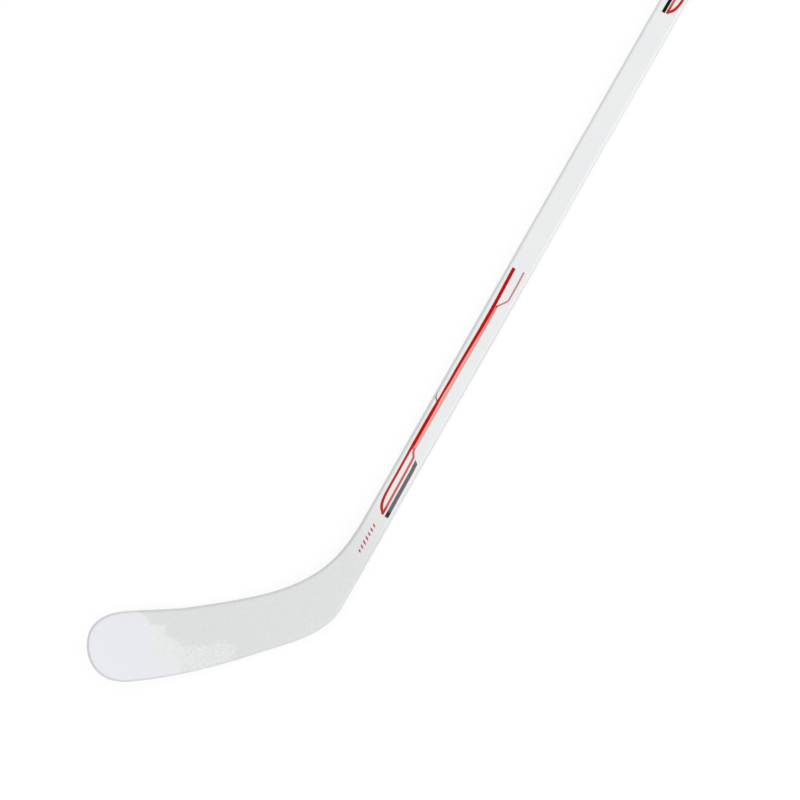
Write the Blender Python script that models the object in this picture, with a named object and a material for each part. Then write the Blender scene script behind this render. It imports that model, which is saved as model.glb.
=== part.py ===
# Roller hockey stick: a laminated wooden shaft and a glass-faced blade on a moulded plastic core.
# It lies on its back face. +X runs up the shaft to the butt, +Y runs to the blade's side, and +Z
# comes out of the forehand face. The origin is halfway along the shaft, on its back face.

import math

import bmesh
import bpy
from mathutils import Matrix, Vector
from mathutils.geometry import interpolate_bezier

# The whole stick, in metres
STICK_LENGTH = 1.524  # from the heel to the butt
SHAFT_WIDTH = 0.028
EDGE_RADIUS = 0.0042  # of the rounded edges, all round the stick

# The layers from the middle outwards, and the glue line between each two
CENTRE_PLY = 0.0056
INNER_PLY = 0.0034
FACE_PLY = 0.0016
GLASS = 0.0008
GLUE_LINE = 0.0003
HAIR = 0.00002  # the smallest distance that keeps two lines apart

# Heights of those layers above the middle surface, the same to the front and to the back
TONGUE_TOP = CENTRE_PLY / 2
INNER_BASE = TONGUE_TOP + GLUE_LINE
INNER_TOP = INNER_BASE + INNER_PLY
FACE_BASE = INNER_TOP + GLUE_LINE
SHAFT_HALF = FACE_BASE + FACE_PLY + GLUE_LINE + GLASS

# Where pieces end, measured up the shaft from the heel
TONGUE_END = 0.150
WRAP_END = 0.165
BLOCK_END = 0.088

# The edge of the neck and blade, from the heel round the toe to the crook. Each point is given up
# the shaft from the heel and across to the blade's side, with the edge's heading in degrees: 0 is
# down the shaft, 90 is straight out to the blade's side
BLADE_EDGE = [
    (0.030, -0.014, 0),
    (-0.062, 0.043, 42),
    (-0.1557, 0.1461, 55),
    (-0.1642, 0.1645, 75),
    (-0.136, 0.211, 162),
    (-0.093, 0.191, 236),
    (-0.047, 0.122, 231),
    (0.055, 0.026, 204),
    (0.125, 0.014, 180),
]
EDGE_POINTS = 13  # from one of those points to the next, both counted

# Thickness and curve change along one line, which halves the angle between shaft and blade. Places
# on it are measured from the heel, negative up the neck and positive towards the toe
LIE_ANGLE = 134.5  # between the shaft and the blade's lower edge
RUN = Vector((-math.sin(math.radians(LIE_ANGLE / 2)), math.cos(math.radians(LIE_ANGLE / 2)), 0))
ACROSS = Vector((RUN.y, -RUN.x, 0))
TAPER_START = -0.135
TAPER_END = 0.010
TOE_PLACE = 0.221
HEEL_HALF = 0.0047  # half the stick's thickness where the taper ends
TOE_HALF = 0.0032
STATION = 0.012  # between the lines across the neck and blade that carry the curve

# The blade bows backwards, so its forehand face is hollow and its back rests on the floor at one place
BOW_START = -0.045
BOW_END = 0.025
BELLY_PLACE = 0.085
BOW_RADIUS = 0.750
FLOOR_CLEARANCE = 0.00005

# A ply or block that the taper cuts through ends where this much of it is left
FEATHER = 0.0005

# Shares of a layer's thickness where its edge has a row of corners, to follow the rounding
PLY_ROWS = (0, 0.5, 1)
GLASS_ROWS = (0, 0.4, 0.75, 1)
CORE_ROWS = (0, 0.12, 0.3, 0.7, 0.88, 1)

# How near a corner has to be to a line to count as on it
ON_END = 0.000001
ON_CUT = 0.0000001
ON_SHOULDER = 0.0001
ON_STATION = 0.0005

HALVINGS = 40  # of the taper, when the end of a ply is looked for
PARALLEL = 0.001  # the sine below which two edges count as one line
SHARP_EDGE = 30  # degrees

# Colours, roughness
WHITE_LACQUER = (0.84, 0.84, 0.85)
WHITE_PLASTIC = (0.80, 0.81, 0.84)
HARD_PLY = (0.71, 0.55, 0.37)
SOFT_PLY = (0.80, 0.68, 0.50)
GLOSSY = 0.3
SATIN = 0.45
RAW = 0.7


def half_thickness(place):
    """Half the finished stick's thickness, glass included."""
    if place <= TAPER_START:
        return SHAFT_HALF
    if place < TAPER_END:
        share = (place - TAPER_START) / (TAPER_END - TAPER_START)
        ease = share * share * (3 - 2 * share)
        return SHAFT_HALF + (HEEL_HALF - SHAFT_HALF) * ease
    share = (place - TAPER_END) / (TOE_PLACE - TAPER_END)
    return HEEL_HALF + (TOE_HALF - HEEL_HALF) * share


def bow(place):
    """Height of the blade's middle surface, a shallow bowl that rests at the belly."""
    lift = half_thickness(BELLY_PLACE) + FLOOR_CLEARANCE
    return lift + (place - BELLY_PLACE) ** 2 / (2 * BOW_RADIUS)


def middle_height(place):
    """Height of the stick's middle surface: level in the shaft, easing into the blade's bow."""
    if place <= BOW_START:
        return SHAFT_HALF
    if place >= BOW_END:
        return bow(place)
    span = BOW_END - BOW_START
    share = (place - BOW_START) / span
    slope = (BOW_END - BELLY_PLACE) / BOW_RADIUS
    ease = share * share * (3 - 2 * share)
    return SHAFT_HALF + (bow(BOW_END) - SHAFT_HALF) * ease + slope * span * share * share * (share - 1)


def edge_inset(place, depth):
    """How far the rounded edge draws a layer in, at this depth below the face."""
    # Where the blade is too thin for the whole radius, the edge is part of an ellipse
    drop = min(EDGE_RADIUS, half_thickness(place))
    share = max(1 - depth / drop, 0)
    return EDGE_RADIUS * (1 - math.sqrt(1 - share**2))


def place_where(thickness_left, base):
    """The place where a layer on that base has only this much left under the glass."""
    wanted = base + thickness_left + GLUE_LINE + GLASS
    low, high = TAPER_START, TAPER_END
    for _ in range(HALVINGS):
        centre = (low + high) / 2
        if half_thickness(centre) > wanted:
            low = centre
        else:
            high = centre
    return low


def glass_base(place):
    return half_thickness(place) - GLASS


def under_glass(place):
    return half_thickness(place) - GLASS - GLUE_LINE


def inner_ply_top(place):
    return min(INNER_TOP, under_glass(place))


def core_top(place):
    """The tongue between the plies, then a short ramp up to the glass where the plies have ended."""
    full = under_glass(place)
    rise = (place - SHOULDER) / GLUE_LINE
    return TONGUE_TOP + (full - TONGUE_TOP) * min(max(rise, 0), 1)


# The shoulder of the blade core stands a glue line clear of the plies' feathered ends
FACE_PLY_END = place_where(FEATHER, FACE_BASE)
INNER_PLY_END = place_where(FEATHER, INNER_BASE)
SHOULDER = INNER_PLY_END + GLUE_LINE


def stick_outline():
    """The stick's edge seen square onto its wide face, as points from the butt back to the butt."""
    points = [Vector((STICK_LENGTH, -SHAFT_WIDTH / 2, 0))]
    for (x0, y0, angle0), (x1, y1, angle1) in zip(BLADE_EDGE, BLADE_EDGE[1:]):
        start, end = Vector((x0, y0, 0)), Vector((x1, y1, 0))
        turn = math.radians(angle1 - angle0)
        # handles this long keep the curve close to an arc
        reach = (end - start).length / (3 * math.cos(turn / 4) ** 2)
        leaving, arriving = (
            Vector((-math.cos(math.radians(angle)), math.sin(math.radians(angle)), 0)) * reach
            for angle in (angle0, angle1)
        )
        points += interpolate_bezier(start, start + leaving, end - arriving, end, EDGE_POINTS)[:-1]
    points.append(Vector((*BLADE_EDGE[-1][:2], 0)))
    points.append(Vector((STICK_LENGTH, SHAFT_WIDTH / 2, 0)))
    return points


def cut_line(point, normal):
    """A line across the stick, and the direction of the side that it takes away."""
    return Vector(point).to_3d(), Vector(normal).to_3d()


def below(distance):
    return cut_line((distance, 0), (1, 0))


def above(distance):
    return cut_line((distance, 0), (-1, 0))


def short_of(place):
    return cut_line(RUN * place, RUN)


BUTT = below(STICK_LENGTH)
# The first line runs a hair outside the shaft's own edge, so that it crosses the outline only twice
SHAFT_SIDE = cut_line((0, SHAFT_WIDTH / 2 + HAIR), (0, 1))
CROOK_SIDE = cut_line((0, SHAFT_WIDTH / 2 + GLUE_LINE), (0, -1))


def cut_face(bm, line, snap=ON_CUT, clear=True):
    geometry = bm.verts[:] + bm.edges[:] + bm.faces[:]
    bmesh.ops.bisect_plane(
        bm, geom=geometry, dist=snap, plane_co=line[0], plane_no=line[1], clear_outer=clear
    )
    loose = [vert for vert in bm.verts if not vert.link_faces]
    bmesh.ops.delete(bm, geom=loose, context="VERTS")


def inward(vert, ends):
    """The move that draws both edges at a rim point in by one unit, and leaves a cut end in its line."""
    rows, reach = [], []
    for edge in vert.link_edges:
        if not edge.is_boundary:
            continue
        loop = edge.link_loops[0]
        along = (loop.link_loop_next.vert.co - loop.vert.co).normalized()
        is_end = any(
            all(abs((corner.co - point).dot(normal)) < ON_END for corner in edge.verts)
            for point, normal in ends
        )
        rows.append((-along.y, along.x))
        reach.append(0 if is_end else 1)
    mitre = Matrix(rows)
    if abs(mitre.determinant()) < PARALLEL:
        return Vector(rows[0]).to_3d() * reach[0]
    return (mitre.inverted() @ Vector(reach)).to_3d()


def make_plate(name, levels, ends, colour, roughness, trim=None, lines=()):
    """One layer of the stick: its outline cut to length, then raised through the given levels."""
    bm = bmesh.new()
    bm.faces.new([bm.verts.new(point) for point in reversed(stick_outline())])
    for line in ends if trim is None else [trim, *ends]:
        cut_face(bm, line)
    for place in lines:
        cut_face(bm, short_of(place), snap=ON_SHOULDER, clear=False)
    for number in range(round((TOE_PLACE - TAPER_START) / STATION)):
        cut_face(bm, short_of(TAPER_START + number * STATION), snap=ON_STATION, clear=False)

    rim_point = bm.verts.layers.int.new("rim_point")
    rim = []
    for number, vert in enumerate(bm.verts):
        vert[rim_point] = number
        move = inward(vert, [BUTT, *ends])
        if any(abs(vert.co.dot(RUN) - place) < ON_SHOULDER for place in lines):
            move = ACROSS * (move.length_squared / move.dot(ACROSS))  # stays on its line
        rim.append((vert.co.copy(), move))

    def set_level(verts, level):
        for vert in verts:
            point, move = rim[vert[rim_point]]
            place = point.dot(RUN)
            point = point + move * edge_inset(place, half_thickness(place) - abs(level(place)))
            place = point.dot(RUN)
            vert.co = (point.x, point.y, middle_height(place) + level(place))

    region = bm.faces[:]
    set_level(bm.verts, levels[0])
    for number, level in enumerate(levels[1:]):
        grown = bmesh.ops.extrude_face_region(bm, geom=region)["geom"]
        if number > 0:
            bmesh.ops.delete(bm, geom=region, context="FACES")  # the last level, now inside
        region = [part for part in grown if isinstance(part, bmesh.types.BMFace)]
        set_level([part for part in grown if isinstance(part, bmesh.types.BMVert)], level)
    bmesh.ops.recalc_face_normals(bm, faces=bm.faces)
    if bm.calc_volume(signed=True) < 0:
        bmesh.ops.reverse_faces(bm, faces=bm.faces)

    mesh = bpy.data.meshes.new(name)
    bm.to_mesh(mesh)
    bm.free()
    mesh.shade_smooth()
    mesh.set_sharp_from_angle(angle=math.radians(SHARP_EDGE))
    mesh.materials.append(finish(name, colour, roughness))
    plate = bpy.data.objects.new(name, mesh)
    plate.parent = heel
    stick.objects.link(plate)
    return plate


def finish(name, colour, roughness):
    material = bpy.data.materials.new(name)
    material.use_nodes = True
    shader = material.node_tree.nodes["Principled BSDF"]
    shader.inputs["Base Color"].default_value = (*colour, 1)
    shader.inputs["Roughness"].default_value = roughness
    shader.inputs["Metallic"].default_value = 0
    return material


def between(base, top, shares):
    """Levels that divide the space from one surface to another in the given shares."""
    return [
        lambda place, share=share: base(place) + (top(place) - base(place)) * share
        for share in shares
    ]


def to_the_back(levels):
    """The same levels below the middle surface, lowest first."""
    return [lambda place, level=level: -level(place) for level in reversed(levels)]


def make_pair(name, base, top, rows, ends, colour, roughness, trim=None):
    """A layer in front of the middle surface and its twin behind it."""
    levels = between(base, top, rows)
    make_plate(f"{name}_front", levels, ends, colour, roughness, trim)
    make_plate(f"{name}_back", to_the_back(levels), ends, colour, roughness, trim)


for old in list(bpy.data.objects):
    bpy.data.objects.remove(old, do_unlink=True)

stick = bpy.data.collections.new("roller_hockey_stick")
bpy.context.scene.collection.children.link(stick)
heel = bpy.data.objects.new("heel", None)
heel.location.x = -STICK_LENGTH / 2
stick.objects.link(heel)

make_plate(
    "shaft_centre_ply",
    between(lambda place: -TONGUE_TOP, lambda place: TONGUE_TOP, (0, 1)),
    [above(TONGUE_END + GLUE_LINE)],
    SOFT_PLY,
    RAW,
)
make_pair(
    "shaft_inner_ply",
    lambda place: INNER_BASE,
    inner_ply_top,
    PLY_ROWS,
    [short_of(INNER_PLY_END)],
    SOFT_PLY,
    RAW,
    trim=SHAFT_SIDE,
)
make_pair(
    "shaft_face_ply",
    lambda place: FACE_BASE,
    under_glass,
    PLY_ROWS,
    [short_of(FACE_PLY_END)],
    HARD_PLY,
    RAW,
    trim=SHAFT_SIDE,
)
make_pair(
    "shaft_glass",
    glass_base,
    half_thickness,
    GLASS_ROWS,
    [above(WRAP_END + GLUE_LINE)],
    WHITE_LACQUER,
    GLOSSY,
)
make_plate(
    "blade_core",
    between(lambda place: -core_top(place), core_top, CORE_ROWS),
    [below(TONGUE_END)],
    WHITE_PLASTIC,
    SATIN,
    lines=(SHOULDER, SHOULDER + GLUE_LINE),
)
make_pair(
    "heel_block",
    lambda place: INNER_BASE,
    under_glass,
    PLY_ROWS,
    [CROOK_SIDE, below(BLOCK_END), short_of(INNER_PLY_END)],
    HARD_PLY,
    RAW,
)
make_pair(
    "blade_glass",
    glass_base,
    half_thickness,
    GLASS_ROWS,
    [below(WRAP_END)],
    WHITE_LACQUER,
    SATIN,
)
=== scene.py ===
# Looks of the roller hockey stick. It lies on its back face: +X runs up the shaft to the butt,
# +Y to the blade's side, and +Z comes out of the forehand face. All lengths are in metres.

import math

import bmesh
import bpy
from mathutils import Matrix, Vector


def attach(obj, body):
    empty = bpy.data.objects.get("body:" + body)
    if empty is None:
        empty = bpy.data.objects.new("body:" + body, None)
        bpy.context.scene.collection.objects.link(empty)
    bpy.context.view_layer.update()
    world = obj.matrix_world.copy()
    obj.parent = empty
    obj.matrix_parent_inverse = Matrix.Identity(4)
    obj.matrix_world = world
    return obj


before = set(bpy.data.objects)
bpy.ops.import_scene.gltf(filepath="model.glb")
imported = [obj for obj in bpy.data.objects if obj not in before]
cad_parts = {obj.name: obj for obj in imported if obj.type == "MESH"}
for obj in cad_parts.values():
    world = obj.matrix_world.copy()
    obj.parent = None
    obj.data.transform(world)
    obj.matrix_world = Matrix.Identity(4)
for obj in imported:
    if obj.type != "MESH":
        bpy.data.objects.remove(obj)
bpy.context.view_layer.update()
print("frame loaded, nodes:", len(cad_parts))

# The stick's own sizes, as the frame has them
stick = {
    "length": 1.524,  # heel to butt
    "width": 0.028,
    "half": 0.0095,  # half the shaft's thickness
    "rim": 0.0042,  # radius of the rounded edges
    "land": 0.0001,  # half the least flat left on an edge, where the blade is thin
    "lie": 134.5,  # degrees between the shaft and the blade's lower edge
    "taper": (-0.135, 0.010),  # where the neck starts to thin, and where it ends
    "toe": 0.221,
    "heelHalf": 0.0047,
    "toeHalf": 0.0032,
    "bow": (-0.045, 0.025),  # where the shaft's level eases into the blade's curve
    "belly": 0.085,  # where the blade's back touches the floor
    "bowRadius": 0.750,
    "clearance": 0.00005,
    # the edge of neck and blade: up the shaft from the heel, across to the blade's side, heading
    "edge": [
        (0.030, -0.014, 0),
        (-0.062, 0.043, 42),
        (-0.1557, 0.1461, 55),
        (-0.1642, 0.1645, 75),
        (-0.136, 0.211, 162),
        (-0.093, 0.191, 236),
        (-0.047, 0.122, 231),
        (0.055, 0.026, 204),
        (0.125, 0.014, 180),
    ],
}
heel = Vector((-stick["length"] / 2, 0, 0))
halfLie = math.radians(stick["lie"] / 2)
bladeRun = Vector((-math.sin(halfLie), math.cos(halfLie), 0))  # from the heel along the blade


def halfThickness(place):
    start, end = stick["taper"]
    if place <= start:
        return stick["half"]
    if place < end:
        share = (place - start) / (end - start)
        return stick["half"] + (stick["heelHalf"] - stick["half"]) * share * share * (3 - 2 * share)
    share = (place - end) / (stick["toe"] - end)
    return stick["heelHalf"] + (stick["toeHalf"] - stick["heelHalf"]) * share


def bladeBow(place):
    lift = halfThickness(stick["belly"]) + stick["clearance"]
    return lift + (place - stick["belly"]) ** 2 / (2 * stick["bowRadius"])


def middleHeight(place):
    start, end = stick["bow"]
    if place <= start:
        return stick["half"]
    if place >= end:
        return bladeBow(place)
    share = (place - start) / (end - start)
    ease = share * share * (3 - 2 * share)
    slope = (end - stick["belly"]) / stick["bowRadius"] * (end - start)
    return stick["half"] + (bladeBow(end) - stick["half"]) * ease + slope * share * share * (share - 1)


# Helpers for edit mode

hair = 0.000001  # points closer than this are merged


def deselectAll():
    if bpy.context.mode != "OBJECT":
        bpy.ops.object.mode_set(mode="OBJECT")
    bpy.ops.object.select_all(action="DESELECT")


def makeActive(piece):
    deselectAll()
    piece.select_set(True)
    bpy.context.view_layer.objects.active = piece


def edit(piece):
    makeActive(piece)
    bpy.ops.object.mode_set(mode="EDIT")
    bpy.ops.mesh.select_all(action="SELECT")


def finishEdit():
    bpy.ops.mesh.select_mode(type="VERT")
    bpy.ops.object.mode_set(mode="OBJECT")


def pickFaces(piece, wanted):
    bpy.ops.mesh.select_mode(type="FACE")
    bpy.ops.mesh.select_all(action="DESELECT")
    mesh = bmesh.from_edit_mesh(piece.data)
    for face in mesh.faces:
        face.select_set(wanted(face))
    bmesh.update_edit_mesh(piece.data)


def cutAt(point, normal, **options):
    bpy.ops.mesh.select_all(action="SELECT")
    bpy.ops.mesh.bisect(plane_co=point, plane_no=normal, **options)


def applyModifier(piece, kind, **settings):
    makeActive(piece)
    modifier = piece.modifiers.new(kind.title(), kind)
    for name, value in settings.items():
        setattr(modifier, name, value)
    bpy.ops.object.modifier_apply(modifier=modifier.name)


def rename(piece, name):
    piece.name = piece.data.name = name
    return piece


def joinPieces(name, parts):
    makeActive(parts[0])
    for part in parts:
        part.select_set(True)
    bpy.ops.object.join()
    return rename(bpy.context.object, name)


def copyPiece(piece, name):
    makeActive(piece)
    bpy.ops.object.duplicate(linked=False)
    return rename(bpy.context.object, name)


def finishPiece(piece, material):
    piece.data.materials.clear()
    piece.data.materials.append(material)
    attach(piece, "root")


def settle(piece):
    # a piece is made round a flat stick of the shaft's thickness, then brought onto the real curve
    for vert in piece.data.vertices:
        place = (vert.co - heel).dot(bladeRun)
        half = halfThickness(place)
        flatter = min(1, (half - stick["land"]) / stick["rim"])  # of the rounding, in the thin blade
        depth = (stick["half"] - abs(vert.co.z)) * flatter
        side = 1 if vert.co.z > 0 else -1
        vert.co.z = middleHeight(place) + side * (half - depth)


# Helpers for shader nodes


def addNode(tree, kind, feeds=(), **settings):
    # feeds: pairs of a socket's name or number, and a value or an output to link
    node = tree.nodes.new("ShaderNode" + kind)
    for name, value in settings.items():
        setattr(node, name, value)
    for socket, value in feeds:
        if isinstance(value, bpy.types.NodeSocket):
            tree.links.new(value, node.inputs[socket])
        else:
            node.inputs[socket].default_value = value
    return node


def maths(tree, operation, *values):
    return addNode(tree, "Math", list(enumerate(values)), operation=operation).outputs[0]


def easeBetween(tree, value, low, high):
    feeds = [("Value", value), ("From Min", low), ("From Max", high)]
    return addNode(tree, "MapRange", feeds, interpolation_type="SMOOTHSTEP").outputs[0]


def without(tree, share):
    return maths(tree, "SUBTRACT", 1.0, share)


def mixNumbers(tree, share, first, second):
    return maths(tree, "MULTIPLY_ADD", share, second - first, first)


def rgba(colour):
    # three numbers get their alpha, and a socket stays as it is
    return (*colour, 1) if isinstance(colour, tuple) else colour


def mixColours(tree, share, first, second):
    feeds = [(0, share), (6, rgba(first)), (7, rgba(second))]
    return addNode(tree, "Mix", feeds, data_type="RGBA").outputs[2]


def distanceAlong(tree, place, way):
    feeds = [(0, place), (1, tuple(way))]
    return addNode(tree, "VectorMath", feeds, operation="DOT_PRODUCT").outputs["Value"]


def noise(tree, place, scale, detail=2.0, roughness=0.5):
    feeds = [("Vector", place), ("Scale", scale), ("Detail", detail), ("Roughness", roughness)]
    return addNode(tree, "TexNoise", feeds).outputs["Fac"]


def newGroup(name, inputs, outputs):
    group = bpy.data.node_groups.new(name, "ShaderNodeTree")
    kinds = {float: "NodeSocketFloat", tuple: "NodeSocketColor"}
    for label, start in inputs:
        socket = group.interface.new_socket(label, in_out="INPUT", socket_type=kinds[type(start)])
        socket.default_value = start
    for label, kind in outputs:
        group.interface.new_socket(label, in_out="OUTPUT", socket_type=kinds[kind])
    given = group.nodes.new("NodeGroupInput").outputs
    result = group.nodes.new("NodeGroupOutput").inputs
    return group, given, result


def makeMottle():
    # soft patches and fine specks, as any coat of paint or moulding has
    inputs = [("Color", (0.8, 0.8, 0.8, 1.0)), ("Patches", 30.0), ("Specks", 900.0), ("Depth", 0.02)]
    group, given, result = newGroup("paint mottle", inputs, [("Color", tuple), ("Shade", float)])
    place = addNode(group, "TexCoord").outputs["Object"]
    patches = noise(group, place, given["Patches"])
    specks = noise(group, place, given["Specks"], 1.0)
    uneven = maths(group, "SUBTRACT", maths(group, "ADD", patches, specks), 1.0)
    shade = maths(group, "MULTIPLY_ADD", uneven, given["Depth"], 1.0)
    tinted = addNode(group, "VectorMath", [(0, given["Color"]), ("Scale", shade)], operation="SCALE")
    group.links.new(tinted.outputs[0], result["Color"])
    group.links.new(shade, result["Shade"])
    return group


weaving = {
    "drift": 420.0,  # scale of the threads' wandering
    "gap": 0.35,  # how high over a crossing line a gap reaches, against a crown's 1
}


def makeClothWeave():
    # threads over and under each other: Height is 1 on a crown, 0 in a hollow
    inputs = [("Pitch", 0.0016), ("Wander", 0.6), ("Turn", 0.0)]
    group, given, result = newGroup("cloth weave", inputs, [("Height", float), ("Gaps", float)])
    place = addNode(group, "TexCoord").outputs["Object"]
    feeds = [("Vector", place), ("Angle", given["Turn"])]
    turned = addNode(group, "VectorRotate", feeds, rotation_type="Z_AXIS").outputs[0]
    drift = maths(group, "SUBTRACT", noise(group, place, weaving["drift"], 1.0), 0.5)
    drift = maths(group, "MULTIPLY", drift, given["Wander"])
    parts = addNode(group, "SeparateXYZ", [(0, turned)])
    waves = []
    for axis in ("X", "Y"):
        cells = maths(group, "DIVIDE", parts.outputs[axis], given["Pitch"])
        angle = maths(group, "MULTIPLY", maths(group, "ADD", cells, drift), math.pi)
        waves.append(maths(group, "SINE", angle))
    crowns = maths(group, "MULTIPLY", waves[0], waves[1])
    group.links.new(maths(group, "MULTIPLY_ADD", crowns, 0.5, 0.5), result["Height"])
    edges = maths(group, "MINIMUM", *[maths(group, "ABSOLUTE", wave) for wave in waves])
    group.links.new(without(group, easeBetween(group, edges, 0.0, weaving["gap"])), result["Gaps"])
    return group


grain = {
    "ringStretch": (0.03, 0.6, 1.0),  # rings and pores are drawn out along the fibres
    "ringBend": 2.5,
    "ringDark": 0.7,
    "poreStretch": (0.02, 1.0, 1.0),
    "pores": 2600.0,
    "poreRange": (0.45, 0.7),
    "poreDark": 0.5,
}


def stretched(group, place, factors):
    feeds = [(0, place), (1, factors)]
    return addNode(group, "VectorMath", feeds, operation="MULTIPLY").outputs[0]


def makeWoodGrain():
    # fibres run up the shaft, so the butt shows their ends: growth rings and fine pores
    inputs = [("Early", (0.8, 0.7, 0.5, 1.0)), ("Late", (0.6, 0.45, 0.3, 1.0))]
    inputs += [("Rings", 260.0), ("Slant", 0.3)]
    group, given, result = newGroup("wood grain", inputs, [("Color", tuple), ("Height", float)])
    place = addNode(group, "TexCoord").outputs["Object"]
    feeds = [("Vector", place), ("Angle", given["Slant"])]
    tilted = addNode(group, "VectorRotate", feeds, rotation_type="X_AXIS").outputs[0]
    feeds = [("Vector", stretched(group, tilted, grain["ringStretch"])), ("Scale", given["Rings"])]
    feeds += [("Distortion", grain["ringBend"]), ("Detail", 2.0)]
    rings = addNode(group, "TexWave", feeds, bands_direction="Z").outputs["Fac"]
    pores = noise(group, stretched(group, place, grain["poreStretch"]), grain["pores"], 3.0)
    dark = maths(group, "MULTIPLY", easeBetween(group, pores, *grain["poreRange"]), grain["poreDark"])
    dark = maths(group, "MINIMUM", maths(group, "MULTIPLY_ADD", rings, grain["ringDark"], dark), 1.0)
    group.links.new(mixColours(group, dark, given["Early"], given["Late"]), result["Color"])
    group.links.new(pores, result["Height"])
    return group


mottle = makeMottle()
clothWeave = makeClothWeave()
woodGrain = makeWoodGrain()


def newMaterial(name):
    material = bpy.data.materials.new(name)
    material.use_nodes = True
    tree = material.node_tree
    return material, tree, tree.nodes["Principled BSDF"]


def addBump(tree, shader, height, depth):
    bump = addNode(tree, "Bump", [("Height", height), ("Strength", 1.0), ("Distance", depth)])
    tree.links.new(bump.outputs["Normal"], shader.inputs["Normal"])


def addMottle(tree, colour, patches, specks, depth):
    feeds = [("Color", rgba(colour)), ("Patches", patches), ("Specks", specks), ("Depth", depth)]
    return addNode(tree, "Group", feeds, node_tree=mottle).outputs


# White finish: glossy lacquer on the shaft that goes over to painted glass cloth in the neck, painted
# shade on the rounded edges, and a smoother, lighter and cooler patch on the toe, with a ragged end
whiteFinish = {
    # colours
    "shaft": (0.794, 0.806, 0.812),
    "blade": (0.705, 0.721, 0.713),
    "lowBlade": (0.690, 0.707, 0.703),  # towards the toe
    "toe": (0.770, 0.778, 0.812),
    "toeRim": (0.778, 0.778, 0.774),  # along the toe's upper side
    "mist": (0.740, 0.756, 0.747),  # a lighter band reaching past the end of the toe's patch
    "nearToe": (0.765, 0.782, 0.772),  # the band where it meets that patch
    "gap": (0.45, 0.46, 0.46),  # between the threads
    "gapShare": 0.06,
    # places along the blade from the heel, negative up the shaft
    "neck": (-0.175, -0.065),  # the cloth comes through between these
    "low": (0.02, 0.12),  # and the blade goes over to its second colour between these
    # painted shade: the rounded edges darker than the flat, where the light falls off round them
    "corner": (0.86, 0.90, 0.80),  # share of the brightness kept under the painted shade on shaft, blade and toe
    "cornerFrom": (0.02, 0.11),  # parts of the rounding's depth between which they darken
    "cornerTo": (0.30, 0.75),  # and pale again towards the narrow side
    "cornerToe": (0.12, 0.19),  # places between which the blade's share turns into the toe's
    "cornerLow": ((-0.46, -0.36), (-0.10, -0.04)),  # where the shaft's low end starts and stops
    "lowDarker": 0.055,  # share of the brightness that its edges lose besides, more painted shade
    "lowSooner": 2.2,  # how many times sooner they darken
    # the toe's patch: distances run heelwards, square to its end, and levels run along that end
    "heelwards": (0.496, -0.868, 0.0),
    "upwards": (0.868, 0.496, 0.0),
    "toeEnd": (-0.5658, -0.5570),  # distances between which it thins out
    "toeStep": (-0.695, -0.702, 0.034),  # between these levels its end steps so much further
    "toeTop": (-0.6545, -0.6515),  # levels between which it takes its upper side's colour
    "toeCorner": (0.6, -0.9938, -0.9908),  # it ends where level + 0.6 distance passes these
    "toeRagged": 0.012,  # how far its end strays
    "strays": (190.0, 4.0, 0.65),  # noise: scale, detail, roughness
    # the mist beyond it
    "mistLine": -0.8545,  # X where it ends
    "mistSteps": ((0.1395, 0.1430, 0.0085), (0.118, 0.066, 0.028)),  # further on between these Y
    "mistFade": (-0.003, 0.003),
    "mistSide": (0.0605, 0.0665),  # Y where it begins
    "mistTop": (-0.6640, -0.6606),  # levels
    "mistRagged": 0.018,
    "calm": (-0.540, -0.520),  # it is smooth up to these distances, then speckled
    # small unevenness
    "speckle": (0.14, 0.32),  # of the painted cloth and of the mist
    "toeSpeckle": 0.35,  # share of it left on the toe's patch
    "grains": (330.0, 2.0, 0.6),
    "mottle": (26.0, 800.0, 0.022),
    "pitch": 0.0017,  # of the threads
    "turn": 48.0,  # of the threads, degrees
    "toeWeave": 0.2,  # share of their relief left on the toe's patch
    "peel": (160.0, 0.12),  # soft waves in the lacquer: scale, and height against the threads
    "relief": 0.00005,
    "roughness": (0.30, 0.50),  # of lacquer and cloth
    "toeSmoother": 0.08,
    "gloss": 0.35,
}


def findToePatch(tree, place):
    # where the toe's patch is, where its mist is, where that is speckled, and the patch's upper side
    look = whiteFinish
    parts = addNode(tree, "SeparateXYZ", [(0, place)])
    x, y = parts.outputs["X"], parts.outputs["Y"]
    heelwards = distanceAlong(tree, place, look["heelwards"])
    level = distanceAlong(tree, place, look["upwards"])
    strays = maths(tree, "SUBTRACT", noise(tree, place, *look["strays"]), 0.5)

    # the patch ends in a nearly straight line, with a step in it and its upper corner cut off
    start, end, further = look["toeStep"]
    reach = maths(tree, "MULTIPLY_ADD", strays, look["toeRagged"], heelwards)
    reach = maths(tree, "MULTIPLY_ADD", easeBetween(tree, level, start, end), -further, reach)
    fall, start, end = look["toeCorner"]
    slant = maths(tree, "MULTIPLY_ADD", heelwards, fall, level)
    toe = without(tree, easeBetween(tree, reach, *look["toeEnd"]))
    toe = maths(tree, "MULTIPLY", toe, without(tree, easeBetween(tree, slant, start, end)))

    # the mist reaches further, to a ragged line with steps
    past = maths(tree, "SUBTRACT", look["mistLine"], x)
    past = maths(tree, "MULTIPLY_ADD", strays, look["mistRagged"], past)
    for start, end, further in look["mistSteps"]:
        past = maths(tree, "MULTIPLY_ADD", easeBetween(tree, y, start, end), further, past)
    mist = easeBetween(tree, past, *look["mistFade"])
    mist = maths(tree, "MULTIPLY", mist, easeBetween(tree, y, *look["mistSide"]))
    mist = maths(tree, "MULTIPLY", mist, without(tree, easeBetween(tree, level, *look["mistTop"])))
    speckled = easeBetween(tree, heelwards, *look["calm"])
    return toe, mist, speckled, easeBetween(tree, level, *look["toeTop"])


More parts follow.
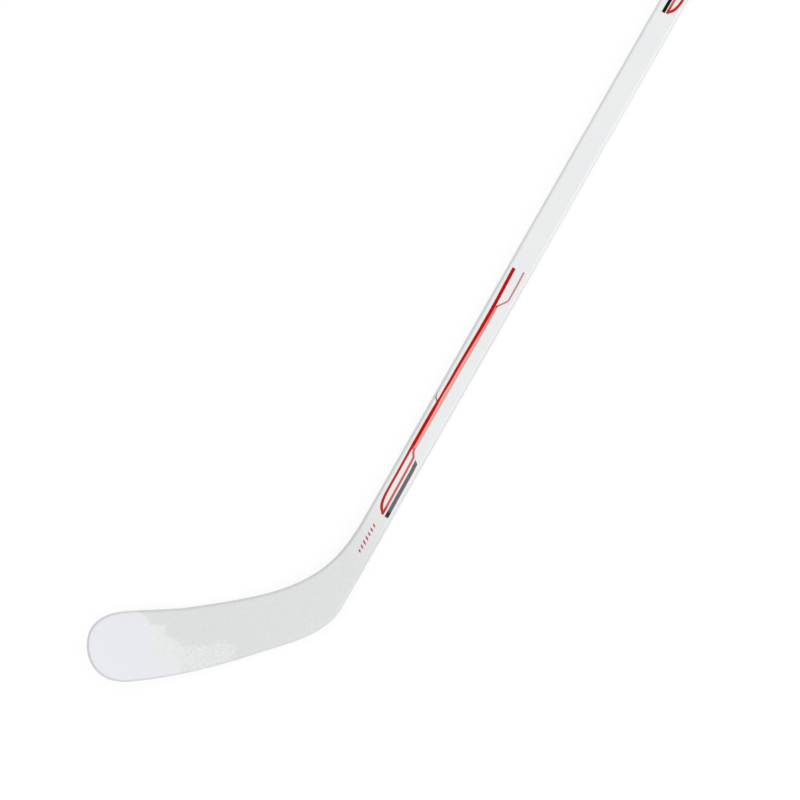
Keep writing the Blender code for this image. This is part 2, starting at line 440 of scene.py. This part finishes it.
def paintCornerShade(tree, run, cloth):
    # painted shade: share of the brightness that the rounded edges keep
    look = whiteFinish
    depth = addNode(tree, "Attribute", attribute_name="depth").outputs["Fac"]
    start, end = look["cornerLow"]
    low = maths(tree, "SUBTRACT", easeBetween(tree, run, *start), easeBetween(tree, run, *end))
    sooner = maths(tree, "MULTIPLY", depth, mixNumbers(tree, low, 1.0, look["lowSooner"]))
    corner = easeBetween(tree, sooner, *look["cornerFrom"])
    corner = maths(tree, "SUBTRACT", corner, easeBetween(tree, depth, *look["cornerTo"]))
    shaftShare, bladeShare, toeShare = look["corner"]
    toe = easeBetween(tree, run, *look["cornerToe"])
    shadeLoss = mixNumbers(tree, cloth, shaftShare - 1, bladeShare - 1)
    shadeLoss = maths(tree, "MULTIPLY_ADD", toe, toeShare - bladeShare, shadeLoss)
    shadeLoss = maths(tree, "MULTIPLY_ADD", low, -look["lowDarker"], shadeLoss)
    return maths(tree, "MULTIPLY_ADD", corner, shadeLoss, 1.0)


def makeWhiteFinish():
    material, tree, shader = newMaterial("white finish")
    look = whiteFinish
    place = addNode(tree, "TexCoord").outputs["Object"]
    run = maths(tree, "SUBTRACT", distanceAlong(tree, place, bladeRun), heel.dot(bladeRun))
    cloth = easeBetween(tree, run, *look["neck"])
    toe, mist, speckled, upperSide = findToePatch(tree, place)

    blade = mixColours(tree, easeBetween(tree, run, *look["low"]), look["blade"], look["lowBlade"])
    colour = mixColours(tree, cloth, look["shaft"], blade)
    colour = mixColours(tree, mist, colour, mixColours(tree, speckled, look["nearToe"], look["mist"]))
    colour = mixColours(tree, toe, colour, mixColours(tree, upperSide, look["toe"], look["toeRim"]))

    speckle = mixNumbers(tree, maths(tree, "MULTIPLY", mist, speckled), *look["speckle"])
    speckle = maths(tree, "MULTIPLY", cloth, speckle)
    speckle = maths(tree, "MULTIPLY", speckle, mixNumbers(tree, toe, 1.0, look["toeSpeckle"]))
    grains = maths(tree, "SUBTRACT", noise(tree, place, *look["grains"]), 0.5)
    # the speckle and the painted shade of the rounded edges scale the colour
    speckleAndShade = maths(tree, "MULTIPLY_ADD", grains, speckle, paintCornerShade(tree, run, cloth))
    colour = addNode(tree, "VectorMath", [(0, colour), ("Scale", speckleAndShade)], operation="SCALE").outputs[0]

    feeds = [("Pitch", look["pitch"]), ("Turn", math.radians(look["turn"]))]
    weave = addNode(tree, "Group", feeds, node_tree=clothWeave).outputs
    bare = maths(tree, "MULTIPLY", cloth, mixNumbers(tree, toe, 1.0, look["toeWeave"]))
    gaps = maths(tree, "MULTIPLY", maths(tree, "MULTIPLY", weave["Gaps"], bare), look["gapShare"])
    painted = addMottle(tree, mixColours(tree, gaps, colour, look["gap"]), *look["mottle"])
    tree.links.new(painted["Color"], shader.inputs["Base Color"])

    rough = mixNumbers(tree, cloth, *look["roughness"])
    rough = maths(tree, "MULTIPLY_ADD", toe, -look["toeSmoother"], rough)
    tree.links.new(maths(tree, "MULTIPLY", rough, painted["Shade"]), shader.inputs["Roughness"])
    scale, height = look["peel"]
    peel = maths(tree, "MULTIPLY", noise(tree, place, scale, 1.0), height)
    addBump(tree, shader, maths(tree, "MULTIPLY_ADD", weave["Height"], bare, peel), look["relief"])
    shader.inputs["Specular IOR Level"].default_value = look["gloss"]
    return material


# Inks of the stripes: each colour gives way to the second over a stretch of the stripe, where
# "along" runs from 0 at a figure's lower end to 1 at its upper end
inks = {
    "red": ((0.47, 0.024, 0.014), (0.46, 0.003, 0.003), (0.23, 0.28)),
    "thin": ((0.50, 0.035, 0.022), (0.60, 0.115, 0.105), (0.02, 0.05)),
    "pale": ((0.84, 0.36, 0.33), (0.82, 0.20, 0.18), (0.66, 0.84)),
    "outline": ((0.62, 0.36, 0.32), (0.60, 0.24, 0.23), (0.66, 0.84)),
    "fine": ((0.30, 0.06, 0.04), (0.52, 0.22, 0.19), (0.3, 0.8)),
    "edge": ((0.30, 0.06, 0.04), (0.66, 0.64, 0.60), (0.455, 0.490)),
    "dark": ((0.040, 0.035, 0.031), (0.138, 0.138, 0.150), (0.018, 0.030)),
    "black": ((0.006, 0.006, 0.006), (0.012, 0.012, 0.013), (0.02, 0.20)),
    "crimson": ((0.50, 0.045, 0.085), (0.55, 0.060, 0.100), (0.0, 0.2)),
    "mottle": (90.0, 1500.0, 0.10),
    "sheen": 0.30,  # roughness
    "gloss": 0.1,
}


def makeInk(kind):
    lower, upper, stretch = inks[kind]
    material, tree, shader = newMaterial(kind + " ink")
    along = addNode(tree, "Attribute", attribute_name="along").outputs["Fac"]
    colour = mixColours(tree, easeBetween(tree, along, *stretch), lower, upper)
    printed = addMottle(tree, colour, *inks["mottle"])
    tree.links.new(printed["Color"], shader.inputs["Base Color"])
    tree.links.new(maths(tree, "MULTIPLY", printed["Shade"], inks["sheen"]), shader.inputs["Roughness"])
    shader.inputs["Specular IOR Level"].default_value = inks["gloss"]
    return material


whitePaint = makeWhiteFinish()
print("white finish ready")


# White coat: one skin of paint over shaft, neck and blade, open at the sawn butt
coat = {
    "proud": 0.00015,  # how far it stands off the bare stick
    "wall": 0.00008,
    "curvePoints": 20,  # between two knots of the outline
    "lines": (-0.150, 0.2195, 0.004),  # first, last and spacing of the lines across
    "lineGap": 0.0001,  # a line across takes up points that lie closer to it
    "rimSegments": 6,
    "crease": 60,  # degrees from which an edge is one of the rims
    "smooth": 40,  # degrees up to which faces shade as one
}


def drawOutline(name, knots, resolution):
    # knots: (where, handle before, handle after). The last is joined to the first by a straight
    # edge, and one face fills the ring
    deselectAll()
    bpy.ops.curve.primitive_bezier_curve_add()
    piece = rename(bpy.context.object, name)
    spline = piece.data.splines[0]
    spline.bezier_points.add(len(knots) - len(spline.bezier_points))
    spline.resolution_u = resolution
    for knot, (where, before, after) in zip(spline.bezier_points, knots):
        knot.handle_left_type = knot.handle_right_type = "FREE"
        knot.co, knot.handle_left, knot.handle_right = where, before, after
    bpy.ops.object.convert(target="MESH")
    edit(piece)
    bpy.ops.mesh.remove_doubles(threshold=hair)
    bpy.ops.mesh.edge_face_add()
    return piece


def stickKnots():
    corners = [heel + Vector((stick["length"], side * stick["width"] / 2, 0)) for side in (-1, 1)]
    where = [heel + Vector((x, y, 0)) for x, y, heading in stick["edge"]]
    angles = [math.radians(heading) for x, y, heading in stick["edge"]]
    ways = [Vector((-math.cos(angle), math.sin(angle), 0)) for angle in angles]
    # handles of these lengths keep the curve close to an arc
    spans = [(end - start).length for start, end in zip(where, where[1:])]
    turns = [end - start for start, end in zip(angles, angles[1:])]
    reach = [span / (3 * math.cos(turn / 4) ** 2) for span, turn in zip(spans, turns)]
    before = [where[0].lerp(corners[0], 1 / 3)]
    before += [knot - way * far for knot, way, far in zip(where[1:], ways[1:], reach)]
    after = [knot + way * far for knot, way, far in zip(where, ways, reach)]
    after.append(where[-1].lerp(corners[1], 1 / 3))
    first = (corners[0], corners[0], corners[0].lerp(where[0], 1 / 3))
    last = (corners[1], corners[1].lerp(where[-1], 1 / 3), corners[1])
    return [first, *zip(where, before, after), last]


def makeWhiteCoat():
    piece = drawOutline("white_coat", stickKnots(), coat["curvePoints"])
    bpy.ops.transform.translate(value=(0, 0, -stick["half"]))
    bpy.ops.mesh.extrude_region_move(TRANSFORM_OT_translate={"value": (0, 0, 2 * stick["half"])})
    bpy.ops.mesh.select_all(action="SELECT")
    bpy.ops.mesh.normals_make_consistent(inside=False)
    pickFaces(piece, lambda face: face.normal.x > 0.9 and face.calc_center_median().x > 0)
    bpy.ops.mesh.delete(type="FACE")
    bpy.ops.mesh.select_mode(type="EDGE")
    bpy.ops.mesh.select_all(action="SELECT")
    bpy.ops.transform.shrink_fatten(value=coat["proud"], use_even_offset=True)
    bpy.ops.mesh.select_all(action="DESELECT")
    bpy.ops.mesh.edges_select_sharp(sharpness=math.radians(coat["crease"]))
    rim = stick["rim"] + coat["proud"]
    bpy.ops.mesh.bevel(offset=rim, segments=coat["rimSegments"], affect="EDGES", clamp_overlap=False)
    first, last, spacing = coat["lines"]
    for number in range(round((last - first) / spacing) + 1):
        place = min(first + number * spacing, last)
        cutAt(heel + bladeRun * place, bladeRun, threshold=coat["lineGap"])
    finishEdit()
    depth = piece.data.attributes.new("depth", "FLOAT", "POINT")  # 0 on the flat, 1 down the side
    for vert, value in zip(piece.data.vertices, depth.data):
        value.value = min(1, max(0, (stick["half"] - abs(vert.co.z)) / stick["rim"]))
    settle(piece)
    applyModifier(piece, "SOLIDIFY", thickness=coat["wall"], offset=-1)
    bpy.ops.object.shade_smooth_by_angle(angle=math.radians(coat["smooth"]))
    applyModifier(piece, "WEIGHTED_NORMAL", keep_sharp=True)
    finishPiece(piece, whitePaint)
    return piece


whiteCoat = makeWhiteCoat()
print("white coat:", len(whiteCoat.data.polygons), "faces")

# Stripes: a figure of printed lines on each wide face, and the same again further up, mirrored.
# Each line has its kind of handles, how far it is raised, and its points: millimetres up the shaft
# from the heel, across to the blade's side, and the width. Where two lines cross, the higher shows
stripes = {
    "lines": {
        "pale": (
            "AUTO",
            0.00004,
            [(397, 2.6, 2.2), (370, 2.7, 2.6), (340, 3.1, 2.9), (300, 3.5, 3.0), (280, 3.8, 3.1)]
            + [(250, 3.6, 2.8), (216, 3.9, 2.6)],
        ),
        "outline": (
            "AUTO",
            0.00008,
            [(396.5, 1.4, 1.3), (370, 1.2, 1.4), (340, 1.4, 1.4), (300, 1.75, 1.5), (250, 2.0, 1.5)]
            + [(216, 2.3, 1.4)],
        ),
        "fine": (
            "VECTOR",
            0.00008,
            [(395, 2.5, 1.8), (404, -4.2, 1.8), (407.5, -6.1, 1.8), (425, -6.0, 1.8)]
            + [(442.5, -5.5, 1.8)],
        ),
        "edge": (
            "VECTOR",
            0.00008,
            [(274, 7.6, 1.2), (277.5, 10.6, 1.2), (279.5, 11.3, 1.0), (285, 11.7, 0.9)]
            + [(292, 12.0, 0.7)],
        ),
        "red": (
            "AUTO",
            0.00012,
            [(441.5, 6.2, 3.8), (425, 5.85, 3.8), (404, 5.25, 3.75), (385, 5.1, 3.6), (362, 5.2, 3.4)]
            + [(340, 5.6, 3.1), (320, 5.95, 3.0), (300, 6.0, 2.8), (290, 6.15, 2.5), (280, 6.3, 2.3)]
            + [(272, 6.3, 2.9), (264, 6.3, 3.5), (240, 6.3, 3.6), (222, 6.25, 3.6), (213, 6.45, 2.8)]
            + [(205, 6.35, 2.6), (180, 6.1, 2.6), (165, 6.0, 2.6), (156, 5.6, 2.8), (150, 4.7, 3.0)]
            + [(146, 3.4, 3.1), (143, 1.8, 3.1), (140.5, -0.3, 2.6), (137.8, -2.0, 2.2)],
        ),
        "thin": (
            "VECTOR",
            0.00016,
            [(217.5, 3.6, 2.0), (213.5, 2.3, 2.2), (208, -0.95, 2.4), (190, -1.35, 2.4)]
            + [(137.8, -2.05, 2.6)],
        ),
        "dark": (
            "VECTOR",
            0.00012,
            [(212, -5.6, 4.0), (195, -6.7, 4.0), (165, -7.0, 4.1), (137, -7.4, 4.2)],
        ),
    },
    "barEnd": ((204.85, -6.9), (0.815, -0.580)),  # a point of the dark bar's slanting end, and its way
    "sunk": 0.00003,  # how far each print reaches into the coat
    "start": (0.65, 0.54),  # where the points are counted from, millimetres up the shaft and across
    "curvePoints": 6,  # between two points of a line
    "span": (0.137, 0.4425),  # of a figure, up the shaft from the heel
    "upper": (0.6262, -0.0017),  # how far up and aside the mirrored figure stands
    "upperBar": (0.88, 0.0054, -0.0013),  # its bar is narrower by this share about this Y, and aside
    "rimCuts": (0.0098, 0.0108, 0.0116, 0.0123),  # lines that let a print follow the rounded edge
    "smooth": 30,  # degrees
}


def onShaft(along, across):
    up, aside = stripes["start"]
    return heel + Vector((up + along, aside + across, 0)) * 0.001


def drawRibbon(points, handles, raised):
    deselectAll()
    bpy.ops.curve.primitive_bezier_curve_add()
    line = bpy.context.object
    line.data.twist_mode = "Z_UP"
    line.data.extrude = 0.0005  # half of a width of 1 mm, which each point's radius multiplies
    spline = line.data.splines[0]
    spline.bezier_points.add(len(points) - len(spline.bezier_points))
    spline.resolution_u = stripes["curvePoints"]
    for knot, (along, across, width) in zip(spline.bezier_points, points):
        knot.co = onShaft(along, across)
        knot.radius = width
        knot.tilt = math.pi / 2  # lays the ribbon flat
        knot.handle_left_type = knot.handle_right_type = handles
    bpy.ops.object.convert(target="MESH")
    edit(line)
    bpy.ops.mesh.remove_doubles(threshold=hair)
    bpy.ops.transform.translate(value=(0, 0, stick["half"] + coat["proud"] - stripes["sunk"]))
    thickness = stripes["sunk"] + raised
    bpy.ops.mesh.extrude_region_move(TRANSFORM_OT_translate={"value": (0, 0, thickness)})
    finishEdit()
    return line


def markAlong(piece):
    low, high = stripes["span"]
    along = piece.data.attributes.new("along", "FLOAT", "POINT")
    for vert, value in zip(piece.data.vertices, along.data):
        value.value = (vert.co.x - heel.x - low) / (high - low)


def wrapRim(piece):
    # what lies near an edge of the shaft follows its rounding
    inner = stick["width"] / 2 - stick["rim"]
    for vert in piece.data.vertices:
        past = abs(vert.co.y) - inner
        if past > 0:
            radius = stick["rim"] + abs(vert.co.z) - stick["half"]
            lowered = radius - math.sqrt(radius**2 - past**2)
            vert.co.z -= math.copysign(lowered, vert.co.z)


def layPrint(piece, material):
    edit(piece)
    for cut in stripes["rimCuts"]:
        for side in (-1, 1):
            cutAt((0, side * cut, 0), (0, 1, 0), threshold=10 * hair)
    bpy.ops.mesh.select_all(action="SELECT")
    bpy.ops.mesh.normals_make_consistent(inside=False)
    finishEdit()
    wrapRim(piece)
    settle(piece)
    makeActive(piece)
    bpy.ops.object.shade_smooth_by_angle(angle=math.radians(stripes["smooth"]))
    finishPiece(piece, material)


def cutBarEnd(bar):
    point, way = stripes["barEnd"]
    edit(bar)
    cutAt(onShaft(*point), (*way, 0), clear_outer=True, use_fill=True, threshold=10 * hair)
    finishEdit()


def copyUp(low, kind):
    high = copyPiece(low, low.name.replace("low", "high"))
    edit(high)
    bpy.ops.transform.resize(value=(1, -1, 1), center_override=(0, 0, 0))
    bpy.ops.transform.translate(value=(*stripes["upper"], 0))
    if kind == "dark":
        share, middle, aside = stripes["upperBar"]
        bpy.ops.transform.resize(value=(1, share, 1), center_override=(0, middle, 0))
        bpy.ops.transform.translate(value=(0, aside, 0))
    finishEdit()
    return high


def copyToBack(front):
    back = copyPiece(front, front.name.replace("front", "back"))
    edit(back)
    bpy.ops.transform.resize(value=(1, -1, -1), center_override=(0, 0, 0))
    finishEdit()
    return back


def makeStripes():
    black = makeInk("black")
    for kind, (handles, raised, points) in stripes["lines"].items():
        ink = makeInk(kind)
        low = rename(drawRibbon(points, handles, raised), "stripe_" + kind + "_front_low")
        if kind == "dark":
            cutBarEnd(low)
        markAlong(low)
        fronts = [low] if kind == "edge" else [low, copyUp(low, kind)]
        backs = [copyToBack(front) for front in fronts]
        for piece in fronts + backs:
            isBlack = kind == "dark" and "high" in piece.name
            layPrint(piece, black if isBlack else ink)
        print("stripe", kind, "laid on both faces")


makeStripes()

# Neck ticks: a short row of slanting strokes on the forehand side of the neck
neckTicks = {
    "first": (91.0, -0.3),  # up the shaft and across, millimetres
    "spacing": 5.3,
    "lengths": (4.2, 5.4, 6.2, 5.6, 4.8, 5.2, 4.4),
    "lean": 55,  # degrees from the shaft's line
    "width": 2.0,
    "tips": 0.7,  # width of a stroke's two ends
    "raised": 0.00008,
}


def makeNeckTicks():
    look = neckTicks
    lean = math.radians(look["lean"])
    ribbons = []
    for number, length in enumerate(look["lengths"]):
        along, across = look["first"][0] + number * look["spacing"], look["first"][1]
        points = []
        for share, width in ((-0.5, look["tips"]), (0, look["width"]), (0.5, look["tips"])):
            reach = share * length
            points.append((along + reach * math.cos(lean), across + reach * math.sin(lean), width))
        ribbons.append(drawRibbon(points, "AUTO", look["raised"]))
    piece = joinPieces("neck_ticks", ribbons)
    markAlong(piece)
    layPrint(piece, makeInk("crimson"))


makeNeckTicks()
print("neck ticks laid")


# Bare pieces under the coat, which show at the sawn butt
woods = {  # colours of early and late wood, scale of the rings, and their slant
    "soft aspen": ((0.73, 0.60, 0.42), (0.58, 0.44, 0.27), 240.0, 0.35),
    "hard birch": ((0.60, 0.42, 0.25), (0.43, 0.27, 0.14), 420.0, -0.2),
}
woodFinish = {"roughness": (0.6, 0.8), "relief": 0.00008}
cloths = {  # colours of resin and threads, spacing of the threads, and their turn in degrees
    "shaft glass": ((0.42, 0.47, 0.36), (0.60, 0.64, 0.54), 0.0012, 0.0),
    "blade glass": ((0.45, 0.50, 0.42), (0.66, 0.69, 0.62), 0.0017, 48.0),
}
clothFinish = {"mottle": (60.0, 700.0, 0.12), "roughness": (0.3, 0.5), "relief": 0.00004}
mouldedCore = {
    "colour": (0.72, 0.73, 0.76),
    "mottle": (40.0, 1200.0, 0.06),
    "roughness": 0.42,
    "relief": 0.0002,
}
barePieces = {
    "soft aspen": ["shaft_centre_ply", "shaft_inner_ply_front", "shaft_inner_ply_back"],
    "hard birch": ["shaft_face_ply_front", "shaft_face_ply_back", "heel_block_front", "heel_block_back"],
    "shaft glass": ["shaft_glass_front", "shaft_glass_back"],
    "blade glass": ["blade_glass_front", "blade_glass_back"],
    "moulded core": ["blade_core"],
}


def makeWood(name):
    early, late, rings, slant = woods[name]
    material, tree, shader = newMaterial(name)
    feeds = [("Early", rgba(early)), ("Late", rgba(late)), ("Rings", rings), ("Slant", slant)]
    grown = addNode(tree, "Group", feeds, node_tree=woodGrain).outputs
    tree.links.new(grown["Color"], shader.inputs["Base Color"])
    rough = mixNumbers(tree, grown["Height"], *woodFinish["roughness"])
    tree.links.new(rough, shader.inputs["Roughness"])
    addBump(tree, shader, grown["Height"], woodFinish["relief"])
    return material


def makeGlassCloth(name):
    resin, threads, pitch, turn = cloths[name]
    material, tree, shader = newMaterial(name)
    feeds = [("Pitch", pitch), ("Turn", math.radians(turn))]
    weave = addNode(tree, "Group", feeds, node_tree=clothWeave).outputs
    colour = mixColours(tree, weave["Height"], resin, threads)
    cloudy = addMottle(tree, colour, *clothFinish["mottle"])
    tree.links.new(cloudy["Color"], shader.inputs["Base Color"])
    rough = mixNumbers(tree, weave["Gaps"], *clothFinish["roughness"])
    tree.links.new(rough, shader.inputs["Roughness"])
    addBump(tree, shader, weave["Height"], clothFinish["relief"])
    return material


def makeMouldedCore(name):
    look = mouldedCore
    material, tree, shader = newMaterial(name)
    moulded = addMottle(tree, look["colour"], *look["mottle"])
    tree.links.new(moulded["Color"], shader.inputs["Base Color"])
    rough = maths(tree, "MULTIPLY", moulded["Shade"], look["roughness"])
    tree.links.new(rough, shader.inputs["Roughness"])
    addBump(tree, shader, moulded["Shade"], look["relief"])
    return material


def dressBarePieces():
    for name, nodes in barePieces.items():
        if name in woods:
            material = makeWood(name)
        elif name in cloths:
            material = makeGlassCloth(name)
        else:
            material = makeMouldedCore(name)
        for node in nodes:
            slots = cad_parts[node].data.materials
            slots.clear()
            slots.append(material)


dressBarePieces()
print("bare pieces dressed:", sum(len(nodes) for nodes in barePieces.values()))

# Studio: a pale glowing floor, one large soft light, and the camera square above the blade
studio = {
    "floorSize": 30.0,
    "floorHeight": -0.0004,
    "floorColour": (0.5, 0.5, 0.5),
    "floorGlow": 0.6,
    "cameraPlace": (-0.50605, 0.04344, 12.0),
    "turn": -60.29,  # the shaft's slant in the picture
    "seen": 0.8699,  # width of the view at the stick's upper face
    "sensor": 36,  # millimetres
    "farthest": 60,  # that the camera sees
    "lightRise": 48,  # degrees above the floor
    "lightSide": -18,  # degrees round from the picture's right, negative towards its foot
    "lightDistance": 9.0,
    "lightSize": 6.0,
    "lightPower": 278,
    "ambient": 0.93,
    "overhead": (0.90, 0.97, 0.15),  # the air darkens between these heights of view, to this share
}


def makeFloor():
    deselectAll()
    bpy.ops.mesh.primitive_plane_add(size=studio["floorSize"], location=(0, 0, studio["floorHeight"]))
    floor = rename(bpy.context.object, "floor")
    paper, tree, shader = newMaterial("white paper")
    shader.inputs["Base Color"].default_value = rgba(studio["floorColour"])
    shader.inputs["Roughness"].default_value = 1.0
    shader.inputs["Specular IOR Level"].default_value = 0.0
    shader.inputs["Emission Color"].default_value = (1, 1, 1, 1)
    shader.inputs["Emission Strength"].default_value = studio["floorGlow"]
    floor.data.materials.append(paper)
    return floor


def makeAir():
    world = bpy.data.worlds.new("studio air")
    bpy.context.scene.world = world
    world.use_nodes = True
    tree = world.node_tree
    low, high, share = studio["overhead"]
    way = addNode(tree, "TexCoord").outputs["Generated"]
    overhead = easeBetween(tree, addNode(tree, "SeparateXYZ", [(0, way)]).outputs["Z"], low, high)
    strength = maths(tree, "MULTIPLY_ADD", overhead, studio["ambient"] * (share - 1), studio["ambient"])
    air = tree.nodes["Background"]
    air.inputs["Color"].default_value = (1, 1, 1, 1)
    tree.links.new(strength, air.inputs["Strength"])
    backdrop = addNode(tree, "Background", [("Color", (1, 1, 1, 1))])  # plain white to the camera
    path = addNode(tree, "LightPath")
    feeds = [(0, path.outputs["Is Camera Ray"]), (1, air.outputs[0]), (2, backdrop.outputs[0])]
    mix = addNode(tree, "MixShader", feeds)
    tree.links.new(mix.outputs[0], tree.nodes["World Output"].inputs["Surface"])


def makeLampAndCamera(floor):
    turn = math.radians(studio["turn"])
    right = Vector((math.cos(turn), math.sin(turn), 0))
    up = Vector((-math.sin(turn), math.cos(turn), 0))
    side, rise = math.radians(studio["lightSide"]), math.radians(studio["lightRise"])
    level = right * math.cos(side) + up * math.sin(side)
    outward = level * math.cos(rise) + Vector((0, 0, math.sin(rise)))
    target = Vector((*studio["cameraPlace"][:2], 0))
    bpy.ops.object.light_add(type="AREA", location=target + outward * studio["lightDistance"])
    lamp = bpy.context.object
    lamp.name = "softbox"
    lamp.rotation_euler = outward.to_track_quat("Z", "Y").to_euler()
    lamp.data.size = studio["lightSize"]
    lamp.data.energy = studio["lightPower"]
    lamp.visible_camera = False
    # the floor glows by itself, so the lamp leaves it out and the stick casts no hard shadow on it
    unlit = bpy.data.collections.new("not lit by the softbox")
    unlit.objects.link(floor)
    unlit.collection_objects[0].light_linking.link_state = "EXCLUDE"
    lamp.light_linking.receiver_collection = unlit

    bpy.ops.object.camera_add(location=studio["cameraPlace"], rotation=(0, 0, turn))
    camera = bpy.context.object
    camera.data.sensor_width = studio["sensor"]
    distance = studio["cameraPlace"][2] - 2 * stick["half"]
    camera.data.lens = studio["sensor"] * distance / studio["seen"]
    camera.data.clip_end = studio["farthest"]
    bpy.context.scene.camera = camera
    bpy.context.scene.view_settings.view_transform = "Standard"
    bpy.context.scene.view_settings.look = "None"


makeAir()
makeLampAndCamera(makeFloor())
print("studio ready")
